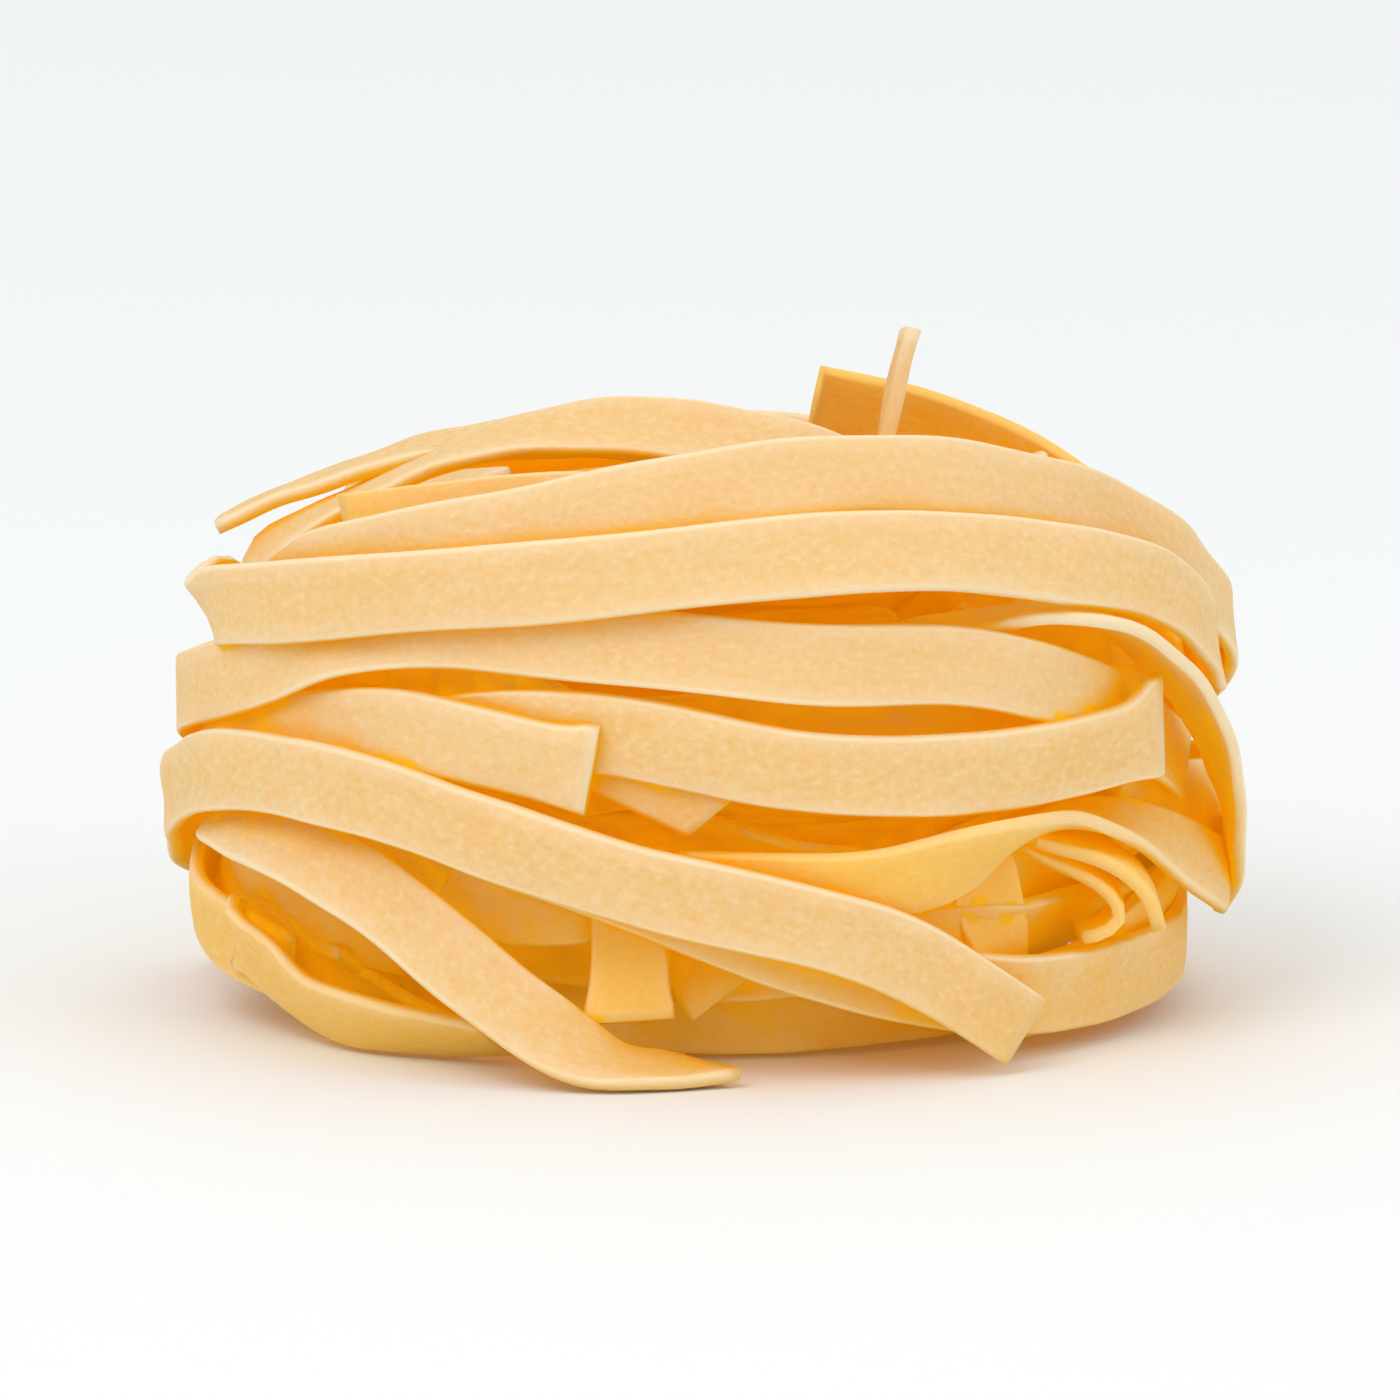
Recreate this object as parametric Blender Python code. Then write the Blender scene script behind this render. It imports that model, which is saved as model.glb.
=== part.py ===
"""A dry tagliatelle nest, modelled as one closed solid out to its uneven outline.

The nest is flat ribbons of pasta wound into a low ring.  The solid is a lumpy ring mass with a
hollow in its top, and the outer ribbons stand on it as bands at their real width and place:
a few are laid by hand, and the others are wound round the ring just under the ones before.

Ribbon routes are given as stations (bearing, reach, height, lean):
  bearing  degrees round the nest, 0 at the front (-Y), growing towards +X
  reach    share of the nest's half width in that direction, 0 at the centre and 1 at the outside
  height   millimetres above the table
  lean     degrees that the ribbon's outer face looks up from level
"""
import math

import bmesh
import bpy
import numpy as np
from mathutils import Matrix

MM = 0.001

# Driving sizes, in millimetres
HALF_WIDTH = 35.0            # along X
HALF_DEPTH = 31.0            # along Y
RIBBON_WIDTH = 5.2
RIBBON_THICKNESS = 1.2
BAND_RELIEF = 4.4            # how far a band reaches into the mass behind it
CROWN_RELIEF = 1.6           # the same, where it crosses over the hollow
STATION_STEP = 5.0           # length of one facet along a band

# The ring's own section, measured from its centre line
MEAN_HALF = (HALF_WIDTH + HALF_DEPTH) / 2
RING_RADIUS = 20.0
RING_HEIGHT = 17.0
ROOM_OUT, ROOM_IN = 12.6, 10.5
ROOM_UP, ROOM_DOWN = 19.0, 15.6
FRONT_LIFT = 2.2
LIFT_BEARING = math.radians(15)
SECTION_POWER = 2.5

# The mass behind the bands
MASS_SHARE = 0.77            # its section, as a share of the ring's
MASS_BEARINGS = 40
HOLLOW_FLOOR = 11.5
HOLLOW_FLOOR_RADIUS = 9.0
CLEFT_DEPTH = 2.6            # how deep the front's lower gaps go into the mass

# Wound bands
WOUND_LAYERS = (14, 5)       # bands in each layer, from the outside in
CROSSING_OFFSETS = (-6, 2, 7, -2, 5, -7, 1)   # of the ribbons across the hollow, lowest first
CROSSINGS_SEEN = (4, 5, 6)                    # those that come out above the hollow's floor
GRID_BEARINGS, GRID_SECTION = 240, 144
SEED = 5


# Bands that show, from the top of the nest to its foot
LAID_BANDS = {
    "upper": [
        (128, 0.86, 17.0, 0), (110, 0.90, 19.5, 0), (92, 0.945, 22.0, 8), (73, 0.96, 25.2, 16),
        (60, 0.96, 29.0, 15), (45, 0.945, 31.7, 20), (23, 0.935, 33.8, 24),
        (3, 0.945, 33.7, 18), (-16, 0.955, 32.4, 10), (-37, 0.965, 30.8, 5),
        (-60, 0.95, 28.6, 3), (-76, 0.92, 27.2, 8), (-86, 0.885, 27.4, 25), (-87, 0.83, 29.2, 55),
        (-86, 0.70, 32.6, 74), (-75, 0.50, 35.8, 70), (-53, 0.347, 38.0, 62),
        (-23, 0.294, 38.6, 56), (11, 0.295, 37.8, 52), (39, 0.357, 36.2, 45),
        (62, 0.435, 33.2, 35)],
    "top": [
        (-75, 0.86, 26.0, 5), (-53, 0.915, 30.9, 8), (-28, 0.90, 34.6, 12),
        (-8, 0.88, 37.2, 15), (14, 0.86, 38.6, 18), (36, 0.865, 37.4, 18), (49, 0.875, 35.4, 15),
        (64, 0.90, 32.2, 8), (77, 0.935, 28.2, 3), (90, 0.96, 24.0, 0),
        (110, 0.94, 18.8, 0), (130, 0.90, 15.0, 0)],
    "middle": [
        (-125, 0.90, 15.0, 0), (-105, 0.92, 17.5, 0), (-90, 0.94, 20.0, 0),
        (-73, 0.95, 22.4, 5), (-60, 0.945, 24.4, 10), (-49, 0.93, 26.6, 12),
        (-34, 0.915, 28.6, 12), (-18, 0.915, 28.5, 15), (-2, 0.925, 27.9, 18),
        (13, 0.935, 27.2, 12), (28, 0.935, 26.8, 5), (42, 0.93, 24.7, 5), (58, 0.91, 21.2, 5),
        (75, 0.90, 17.0, 5)],
    "right_hook": [
        (20, 0.73, 23.8, 35), (30, 0.80, 26.2, 62), (38, 0.87, 28.0, 84), (46, 0.935, 28.0, 92),
        (54, 0.965, 25.9, 88), (60, 0.975, 23.3, 84), (66, 0.98, 19.6, 72), (73, 0.98, 15.0, 50),
        (80, 0.965, 10.6, 25), (88, 0.94, 7.5, 0)],
    "left_tab": [
        (-85, 0.90, 15.0, 0), (-70, 0.915, 17.6, 0), (-54, 0.925, 20.4, 10),
        (-38, 0.96, 22.0, 8), (-26, 0.978, 21.6, 3), (-13, 0.99, 20.2, 0)],
    "right_tab": [
        (-38, 0.86, 20.8, 5), (-24, 0.915, 22.5, 5), (-9, 0.95, 22.5, 0), (6, 0.965, 20.7, 0),
        (20, 0.975, 19.8, 0), (36, 0.98, 19.6, 0), (56, 0.985, 20.3, 0)],
    "deep": [
        (-30, 0.835, 21.0, 0), (-5, 0.85, 22.0, 0), (22, 0.85, 22.7, 0), (45, 0.845, 21.5, 0),
        (65, 0.845, 19.0, 0)],
    "wedge_end": [(-42, 0.865, 26.0, 0), (-22, 0.892, 23.3, 0), (-9.5, 0.907, 20.4, 0),
                  (1, 0.925, 17.9, 0)],
    "long_diagonal": [
        (-135, 0.91, 7.0, 0), (-112, 0.945, 8.5, 0), (-97, 0.965, 10.4, 0),
        (-84, 0.965, 13.4, 0), (-72, 0.975, 16.4, 3), (-57, 0.995, 18.2, 3),
        (-37, 1.0, 17.8, 3), (-17, 1.005, 14.8, 0), (1, 1.01, 12.0, 0), (19, 1.01, 8.6, 0),
        (29.5, 0.995, 4.8, 0), (35, 0.985, 2.7, 0)],
    "low_diagonal": [
        (-100, 0.80, 12.0, 40), (-80, 0.90, 13.9, 42), (-65, 0.95, 14.4, 42),
        (-49, 0.98, 13.6, 40), (-37, 0.985, 11.2, 36), (-27, 0.99, 7.6, 34), (-17, 0.99, 3.7, 42),
        (-9, 0.96, 1.2, 70), (0, 0.90, 0.8, 85)],
    "left_foot": [
        (-118, 0.83, 10.0, 0), (-105, 0.86, 10.2, 0), (-90, 0.895, 9.7, 0), (-76, 0.925, 8.6, -5),
        (-66, 0.935, 7.2, -8), (-55, 0.93, 5.4, -8)],
    "hanging_end": [(-12, 0.72, 15.5, 40), (-11, 0.815, 11.3, 15), (-10.8, 0.85, 6.8, 0),
                    (-10.8, 0.885, 3.2, 35)],
    "foot": [
        (-27, 0.86, 15.0, 0), (-9, 0.905, 12.5, -3), (7, 0.92, 9.0, -5), (22, 0.92, 6.2, -8),
        (39, 0.905, 4.4, -8), (55, 0.89, 4.0, -8), (70, 0.88, 4.2, -5), (95, 0.88, 4.7, 0),
        (120, 0.92, 5.0, 0)],
    "right_cheek": [(60, 0.87, 14.8, 0), (72, 0.90, 14.4, 0), (80, 0.94, 13.9, 0),
                    (90, 0.985, 13.3, 0), (100, 0.985, 12.7, 0), (115, 0.965, 12.2, 0),
                    (130, 0.94, 11.8, 0)],
    "back_end": [(143, 0.37, 37.4, 0), (134, 0.60, 35.2, 0), (126, 0.75, 32.4, 0),
                 (116, 0.85, 28.6, 0), (105, 0.875, 23.8, 0), (90, 0.88, 19.0, 0)],
    "crown_rear": [
        (-100, 0.88, 30.4, 84), (-97, 0.684, 33.6, 80), (-90, 0.50, 35.8, 70),
        (-76, 0.356, 37.2, 64), (-50, 0.25, 38.0, 60), (20, 0.20, 37.0, 56),
        (80, 0.30, 34.8, 50)],
    "crown_stub": [(-59, 0.75, 32.4, 15), (-46, 0.70, 33.6, 18), (-33, 0.65, 34.4, 20),
                   (-18, 0.60, 34.6, 20), (0, 0.58, 34.0, 20)],
    "back_sweep": [
        (-76, 0.84, 22.6, 8), (-100, 0.87, 24.4, 10), (-125, 0.89, 26.6, 8),
        (-150, 0.94, 26.6, 5), (-165, 0.97, 24.5, 0), (180, 0.99, 21.0, 0),
        (160, 1.0, 16.0, 0), (146, 1.0, 12.6, 0), (136, 0.995, 10.8, 0)],
    "back_tab": [(103, 0.95, 25.4, 5), (118, 0.96, 26.4, 8), (140, 0.965, 26.5, 8),
                 (160, 0.965, 24.0, 5), (171, 0.955, 22.4, 0)],
    "back_diagonal": [
        (126, 0.90, 28.6, 12), (142, 0.88, 30.4, 18), (158, 0.88, 30.6, 15),
        (-178, 0.91, 28.0, 8), (-160, 0.935, 22.0, 3), (-143, 0.95, 16.0, 0),
        (-128, 0.97, 12.5, 0)],
    "back_low": [
        (-114, 0.93, 3.4, 0), (-130, 0.97, 4.4, 0), (-150, 0.98, 7.0, 0), (-172, 0.99, 10.0, 0),
        (168, 1.0, 9.5, 0), (150, 0.99, 6.0, 0), (135, 0.97, 3.2, 0)],
    "back_crown": [
        (-115, 0.70, 31.5, 40), (-140, 0.66, 32.4, 45), (-168, 0.62, 33.0, 45),
        (165, 0.64, 33.0, 42), (142, 0.72, 31.5, 35)],
}
# Bands that stand free of the mass keep the ribbon's real thickness
FREE_BANDS = {
    "right_arch": [
        (-3, 0.88, 12.3, -4), (6, 0.935, 12.3, -10), (15, 0.965, 12.6, -14),
        (25, 0.965, 13.3, -20), (34, 0.95, 14.4, -45),
        (43, 0.90, 15.0, -72), (54, 0.915, 14.2, -110), (61, 0.94, 12.9, -135),
        (69, 0.97, 11.0, -150), (79, 0.99, 8.8, -160)],
    "standing_end": [(91, 0.386, 43.4, 0), (90, 0.34, 37.0, 0), (89, 0.34, 30.0, 0),
                     (88, 0.40, 22.0, 0)],
}


def clear_scene():
    for old in list(bpy.data.objects):
        bpy.data.objects.remove(old, do_unlink=True)


def wrap_angle(angle):
    return (angle + math.pi) % (2 * math.pi) - math.pi


def section_reach(around, bearing):
    """Distance from the ring's centre line to its surface, in direction `around` of its section."""
    cosine, sine = np.cos(around), np.sin(around)
    top = ROOM_UP + FRONT_LIFT * np.cos(bearing - LIFT_BEARING)
    level = np.where(cosine > 0, ROOM_OUT, ROOM_IN)
    upright = np.where(sine > 0, top, ROOM_DOWN)
    total = (np.abs(cosine) / level) ** SECTION_POWER + (np.abs(sine) / upright) ** SECTION_POWER
    return total ** (-1 / SECTION_POWER)


def bulge(offset, width):
    return np.exp(-(wrap_angle(offset) / width) ** 2)


def cleft(bearing, around):
    """The two gaps low on the front, 1 where they are deepest."""
    middle = bulge(bearing - math.radians(-8), math.radians(30))
    middle = middle * bulge(around - math.radians(-38), math.radians(24))
    right = bulge(bearing - math.radians(48), math.radians(18))
    right = right * bulge(around - math.radians(-30), math.radians(20))
    return middle + 0.7 * right


def unevenness(bearing, around):
    return 1 + 0.03 * np.sin(2 * bearing + 1) + 0.025 * np.sin(3 * bearing - 2 * around)


def place(bearing, reach, height):
    """Points in millimetres from bearings in radians, reaches and heights."""
    across = HALF_WIDTH * reach * np.sin(bearing)
    along = -HALF_DEPTH * reach * np.cos(bearing)
    return np.stack([across, along, height], axis=-1)


def ring_place(bearing, around, distance):
    reach = (RING_RADIUS + distance * np.cos(around)) / MEAN_HALF
    return place(bearing, reach, RING_HEIGHT + distance * np.sin(around))


def ring_coordinates(points):
    """Bearing, direction in the section and distance from the ring's centre line."""
    across = points[..., 0] / HALF_WIDTH
    along = -points[..., 1] / HALF_DEPTH
    outward = MEAN_HALF * np.hypot(across, along) - RING_RADIUS
    upward = points[..., 2] - RING_HEIGHT
    return np.arctan2(across, along), np.arctan2(upward, outward), np.hypot(outward, upward)


def smooth_curve(knots, count):
    """A natural cubic spline through the knots, sampled at `count` even steps."""
    last = len(knots) - 1
    gaps = np.linalg.norm(np.diff(knots[:, :3], axis=0), axis=1)
    along = np.concatenate([[0.0], np.cumsum(gaps)])
    matrix = np.eye(last + 1)
    target = np.zeros_like(knots)
    for i in range(1, last):
        matrix[i, i - 1:i + 2] = gaps[i - 1], 2 * (gaps[i - 1] + gaps[i]), gaps[i]
        ahead = (knots[i + 1] - knots[i]) / gaps[i]
        behind = (knots[i] - knots[i - 1]) / gaps[i - 1]
        target[i] = 6 * (ahead - behind)
    bend = np.linalg.solve(matrix, target)
    where = np.linspace(0, along[-1], count)
    span = np.clip(np.searchsorted(along, where, side="right") - 1, 0, last - 1)
    length = gaps[span][:, None]
    left = (along[span + 1] - where)[:, None] / length
    right = 1 - left
    curve = left * knots[span] + right * knots[span + 1]
    cubic = (left ** 3 - left) * bend[span] + (right ** 3 - right) * bend[span + 1]
    return curve + cubic * length ** 2 / 6


def unit(vectors):
    return vectors / np.linalg.norm(vectors, axis=1)[:, None]


def route_from_knots(knots, step):
    """Centre points, outward face directions and width directions along a ribbon."""
    length = np.linalg.norm(np.diff(knots[:, :3], axis=0), axis=1).sum()
    curve = smooth_curve(knots, max(4, round(length / step) + 1))
    centre = curve[:, :3]
    ahead = unit(np.gradient(centre, axis=0))
    face = curve[:, 3:]
    face = unit(face - (face * ahead).sum(axis=1)[:, None] * ahead)
    return centre, face, np.cross(ahead, face)


def facing(bearing, lean):
    level = np.cos(lean)
    return np.stack([level * np.sin(bearing), -level * np.cos(bearing), np.sin(lean)], axis=-1)


def laid_route(stations, step):
    table = np.array(stations, float)
    bearing, lean = np.radians(table[:, 0]), np.radians(table[:, 3])
    knots = np.hstack([place(bearing, table[:, 1], table[:, 2]), facing(bearing, lean)])
    return route_from_knots(knots, step)


def empty_room():
    """Free distance from the ring's centre line, on a grid of bearings and section directions."""
    bearing = ((np.arange(GRID_BEARINGS) + 0.5) / GRID_BEARINGS * 2 - 1) * math.pi
    around = ((np.arange(GRID_SECTION) + 0.5) / GRID_SECTION * 2 - 1) * math.pi
    bearing, around = np.meshgrid(bearing, around, indexing="ij")
    room = section_reach(around, bearing) * unevenness(bearing, around)
    return room - 7.0 * cleft(bearing, around)


def grid_cell(bearing, around):
    row = np.floor((wrap_angle(bearing) / math.pi + 1) / 2 * GRID_BEARINGS).astype(int)
    column = np.floor((wrap_angle(around) / math.pi + 1) / 2 * GRID_SECTION).astype(int)
    return row % GRID_BEARINGS, column % GRID_SECTION


def take_room(room, route):
    """Lower the free distance to the inner face of a ribbon that has been laid."""
    centre, face, width = route
    inner = centre - face * (RIBBON_THICKNESS / 2 + 0.15)
    for share in np.linspace(-1, 1, 9):
        lane = inner + width * share * (RIBBON_WIDTH / 2 + 0.25)
        bearing, around, distance = ring_coordinates(lane)
        np.minimum.at(room, grid_cell(bearing, around), distance)


def blurred(values, spread):
    reach = int(3 * spread) + 1
    weights = np.exp(-(np.arange(-reach, reach + 1) / spread) ** 2 / 2)
    padded = np.pad(values, reach, mode="edge")
    return np.convolve(padded, weights / weights.sum(), mode="valid")


def lowest_near(values, reach):
    padded = np.pad(values, reach, mode="edge")
    shifted = [padded[i:i + len(values)] for i in range(2 * reach + 1)]
    return np.min(shifted, axis=0)


def wound_route(room, start, span, middle, sway, chance):
    """A ribbon wound round the ring, tucked just under everything laid so far."""
    count = max(12, int(math.radians(span) * 13))
    turn = np.radians(np.linspace(0, span, count))
    bearing = math.radians(start) + turn
    slow = np.sin(turn * chance.uniform(0.8, 1.5) + chance.uniform(0, 6.3))
    quick = np.sin(turn * chance.uniform(2, 3) + chance.uniform(0, 6.3))
    around = wrap_angle(math.radians(middle) + math.radians(sway) * (slow + 0.4 * quick))
    lanes = []
    radius = np.maximum(section_reach(around, bearing) * 0.8, 6)
    for share in (-1, -0.5, 0, 0.5, 1):
        beside = around + share * (RIBBON_WIDTH / 2 + 0.2) / radius
        lanes.append(room[grid_cell(bearing, beside)])
    low = blurred(lowest_near(np.min(lanes[:3], axis=0), 2), 2.2)
    high = blurred(lowest_near(np.min(lanes[2:], axis=0), 2), 2.2)
    distance = np.minimum((low + high) / 2, np.minimum(low, high) + 0.9)
    distance = blurred(distance - RIBBON_THICKNESS / 2 - 0.1, 2.0)
    lean = blurred(np.clip(np.arctan2(low - high, RIBBON_WIDTH / 2), -0.35, 0.35), 3)
    lean = around + lean + math.radians(chance.uniform(-6, 6))
    centre = ring_place(bearing, around, distance)
    centre[:, 2] = np.maximum(centre[:, 2], 0.8 + 2.5 * np.abs(np.cos(around)))
    knots = np.hstack([centre, facing(bearing, lean)])
    return knots[::3]


def crossing_route(i, step):
    """A ribbon across the floor of the hollow, with its ends running up into the ring."""
    turn = math.radians(137.5 * i + 20)
    ahead = np.array([math.cos(turn), math.sin(turn)])
    side = np.array([-ahead[1], ahead[0]])
    half = 15 + 2.2 * (i % 3)
    knots = []
    for share in np.linspace(-1, 1, 7):
        flat = side * (CROSSING_OFFSETS[i] + 2.5 * share ** 2) + ahead * half * share
        height = 4 + 1.9 * i + 3.5 * share ** 2
        slope = -7.0 * share / half
        knots.append([*flat, height, *(ahead * slope), 1.0])
    return route_from_knots(np.array(knots), step)


def wound_bands():
    """The bands of the outer layers, each as knots for a route."""
    chance = np.random.default_rng(SEED)
    room = empty_room()
    for stations in [*LAID_BANDS.values(), *FREE_BANDS.values()]:
        take_room(room, laid_route(stations, 1.0))
    knots = []
    for layer, count in enumerate(WOUND_LAYERS):
        for i in range(count):
            middle = -62 + 225 * ((i * 0.618034 + 0.13 * layer) % 1)
            start = 137.5 * (i + 3 * layer) + chance.uniform(-20, 20)
            span, sway = chance.uniform(150, 330), chance.uniform(8, 26)
            band = wound_route(room, start, span, middle, sway, chance)
            take_room(room, route_from_knots(band, 1.0))
            knots.append(band)
    return knots


def new_object(name, vertices, faces):
    mesh = bpy.data.meshes.new(name)
    mesh.from_pydata([tuple(point) for point in vertices * MM], [], faces)
    made = bpy.data.objects.new(name, mesh)
    bpy.context.scene.collection.objects.link(made)
    return made


def relief_along(centre):
    """How far a band reaches behind its face, which is less where it crosses the hollow."""
    out = np.hypot(centre[:, 0], centre[:, 1])
    relief = np.interp(out, (HOLLOW_FLOOR_RADIUS, RING_RADIUS), (CROWN_RELIEF, BAND_RELIEF))
    return relief[:, None]


def band_object(name, route, outer, inner):
    """A strip with square corners from `outer` above its centre line to `inner` below it."""
    centre, face, width = route
    half = RIBBON_WIDTH / 2
    rings = []
    for side, level in ((1, outer), (-1, outer), (-1, -inner), (1, -inner)):
        rings.append(centre + width * half * side + face * level)
    vertices = np.stack(rings, axis=1).reshape(-1, 3)
    faces = [(0, 1, 2, 3)]
    last = len(centre) - 1
    for i in range(last):
        for a in range(4):
            b = (a + 1) % 4
            faces.append((4 * i + b, 4 * i + a, 4 * i + 4 + a, 4 * i + 4 + b))
    end = 4 * last
    faces.append((end + 3, end + 2, end + 1, end))
    return new_object(name, vertices, faces)


def mass_profile(bearing):
    """Points up the mass's section at one bearing, from the outside bottom to the hollow."""
    around = np.radians(np.linspace(-75, 165, 17))
    bearings = np.full_like(around, bearing)
    distance = section_reach(around, bearings) * unevenness(bearings, around) * MASS_SHARE
    distance = distance - CLEFT_DEPTH * cleft(bearings, around)
    return ring_place(bearings, around, distance)


def mass_object(name):
    """The ring mass: flat below, lumpy outside, with a hollow in its top."""
    vertices, faces = [], []
    for i in range(MASS_BEARINGS):
        bearing = 2 * math.pi * i / MASS_BEARINGS
        profile = mass_profile(bearing)
        foot = profile[0] * (1, 1, 0)
        floor = place(bearing, HOLLOW_FLOOR_RADIUS / MEAN_HALF, HOLLOW_FLOOR)
        vertices.extend([foot, *profile, floor])
    size = len(vertices) // MASS_BEARINGS
    for i in range(MASS_BEARINGS):
        here, there = i * size, (i + 1) % MASS_BEARINGS * size
        for k in range(size - 1):
            faces.append((here + k, there + k, there + k + 1, here + k + 1))
    faces.append([i * size for i in reversed(range(MASS_BEARINGS))])
    faces.append([i * size + size - 1 for i in range(MASS_BEARINGS)])
    return new_object(name, np.array(vertices), faces)


def under_table_cutter():
    corners = np.array([(x, y, z) for x in (-60, 60) for y in (-60, 60) for z in (-30, 0)], float)
    faces = [(0, 1, 3, 2), (4, 6, 7, 5), (0, 4, 5, 1), (2, 3, 7, 6), (0, 2, 6, 4), (1, 5, 7, 3)]
    cutter = new_object("under_table", corners, faces)
    cutter.hide_render = True
    cutter.display_type = "WIRE"
    return cutter


def boolean(target, other, operation):
    """Apply one Boolean and remove the tool.

    Some bands cross themselves, which the exact solver leaves open along the crossing; the
    manifold solver closes it.
    """
    modifier = target.modifiers.new(operation.lower(), "BOOLEAN")
    modifier.operation = operation
    modifier.solver = "MANIFOLD"
    modifier.object = other
    bpy.context.view_layer.update()
    graph = bpy.context.evaluated_depsgraph_get()
    result = bpy.data.meshes.new_from_object(target.evaluated_get(graph))
    target.modifiers.clear()
    target.data = result
    bpy.data.objects.remove(other, do_unlink=True)


def shells(mesh):
    """Lists of faces joined through shared edges."""
    left = set(mesh.faces)
    groups = []
    while left:
        stack = [left.pop()]
        group = list(stack)
        while stack:
            face = stack.pop()
            for edge in face.edges:
                for other in edge.link_faces:
                    if other in left:
                        left.discard(other)
                        stack.append(other)
                        group.append(other)
        groups.append(group)
    return groups


def part_shared_diagonal(mesh, edge):
    """Two facets that only touch along this edge get a corner of their own in its middle."""
    first = edge.link_faces[0]
    others = edge.link_faces[1:]
    second = max(others, key=lambda face: face.normal.dot(first.normal))
    middle = mesh.verts.new((edge.verts[0].co + edge.verts[1].co) / 2)
    for face in (first, second):
        corners = list(face.verts)
        for end in edge.verts:
            mesh.faces.new([middle if corner is end else corner for corner in corners])
    bmesh.ops.delete(mesh, geom=[first, second], context="FACES_ONLY")


def fill_pockets(target):
    """Keep the outer shell, so that pockets between bands and mass become solid."""
    mesh = bmesh.new()
    mesh.from_mesh(target.data)
    outer, *pockets = sorted(shells(mesh), key=len, reverse=True)
    for pocket in pockets:
        bmesh.ops.delete(mesh, geom=pocket, context="FACES")
    bmesh.ops.triangulate(mesh, faces=mesh.faces)
    for edge in [edge for edge in mesh.edges if len(edge.link_faces) > 2]:
        part_shared_diagonal(mesh, edge)
    mesh.to_mesh(target.data)
    mesh.free()


def centre_over_origin(target):
    """Put the middle of the outline over the origin, with the underside left at height 0."""
    corners = np.array([vertex.co for vertex in target.data.vertices])
    middle = (corners.min(axis=0) + corners.max(axis=0)) / 2
    target.data.transform(Matrix.Translation((-middle[0], -middle[1], 0)))


def pasta_material():
    material = bpy.data.materials.new("dry_pasta")
    material.use_nodes = True
    shader = material.node_tree.nodes["Principled BSDF"]
    shader.inputs["Base Color"].default_value = (0.89, 0.60, 0.23, 1)
    shader.inputs["Roughness"].default_value = 0.7
    shader.inputs["Metallic"].default_value = 0.0
    return material


def build_nest():
    nest = mass_object("pasta_nest")
    surface = RIBBON_THICKNESS / 2
    bands = []
    for name, stations in LAID_BANDS.items():
        route = laid_route(stations, STATION_STEP)
        bands.append(band_object(name, route, surface, relief_along(route[0]) - surface))
    for i, knots in enumerate(wound_bands()):
        route = route_from_knots(knots, STATION_STEP)
        bands.append(band_object(f"wound_{i}", route, surface, relief_along(route[0]) - surface))
    for i in CROSSINGS_SEEN:
        route = crossing_route(i, STATION_STEP)
        depth = route[0][:, 2:] - HOLLOW_FLOOR + CROWN_RELIEF
        bands.append(band_object(f"crossing_{i}", route, surface, depth))
    for name, stations in FREE_BANDS.items():
        route = laid_route(stations, STATION_STEP)
        bands.append(band_object(name, route, surface, surface))
    for band in bands:
        boolean(nest, band, "UNION")
    boolean(nest, under_table_cutter(), "DIFFERENCE")
    fill_pockets(nest)
    centre_over_origin(nest)
    nest.data.materials.clear()
    nest.data.materials.append(pasta_material())
    return nest


clear_scene()
build_nest()
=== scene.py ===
"""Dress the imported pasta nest: every ribbon at its real size, over a small core.

The outer ribbons follow nearly the same stations as the solid's bands.  More ribbons are wound
under them, layer by layer, and then ribbons that would cut into each other are pushed apart.
Sizes here are in millimetres until a mesh is made.

Ribbon routes are stations (bearing, reach, height, lean):
  bearing  degrees round the nest, 0 at the front (-Y), growing towards +X
  reach    share of the nest's half width in that direction
  height   millimetres above the table
  lean     degrees that the ribbon's outer face looks up from level
  swing    degrees that the face is turned from straight out, 0 where it isn't given
"""
import math

import bpy
import numpy as np
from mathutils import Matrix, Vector
from mathutils.bvhtree import BVHTree


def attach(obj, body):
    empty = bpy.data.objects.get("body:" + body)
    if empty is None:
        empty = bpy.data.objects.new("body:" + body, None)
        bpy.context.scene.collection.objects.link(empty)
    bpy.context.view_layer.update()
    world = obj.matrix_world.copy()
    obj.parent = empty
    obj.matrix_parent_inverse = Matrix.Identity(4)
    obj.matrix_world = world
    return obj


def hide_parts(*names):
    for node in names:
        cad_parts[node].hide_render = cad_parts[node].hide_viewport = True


MM = 0.001
HALF_WIDTH, HALF_DEPTH = 35.0, 31.0
MIDDLE = np.array([0.36, -0.24, 0.0])         # the solid was centred by this much
RIBBON_WIDTH, RIBBON_THICKNESS = 5.2, 0.95
STEP, ROOM_STEP = 0.9, 1.0                    # between stations: of a mesh, of a room test

# The ring's own section, as in the solid
MEAN_HALF = (HALF_WIDTH + HALF_DEPTH) / 2
RING_RADIUS, RING_HEIGHT = 20.0, 17.0
ROOM_OUT, ROOM_IN = 12.6, 10.5
ROOM_UP, ROOM_DOWN = 19.0, 15.6
FRONT_LIFT, LIFT_BEARING = 2.2, math.radians(15)
SECTION_POWER = 2.5
CLEFT_DEPTH = 7.0
GRID_BEARINGS, GRID_SECTION = 240, 144
CORE_SHARE, CORE_CLEFT = 0.30, 1.0
SEED = 5

# Ribbons in each wound layer, from the outside in; the layer that the folded ones lie over;
# where a layer's ribbons start round the section, and how far they may stray
WOUND_LAYERS = (14, 5, 11, 11, 9)
FOLDED_LAYER = 2
FIRST_AROUND, AROUND_SPAN = -62, 225
GOLDEN_SHARE, GOLDEN_TURN = 0.618034, 137.5
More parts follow.
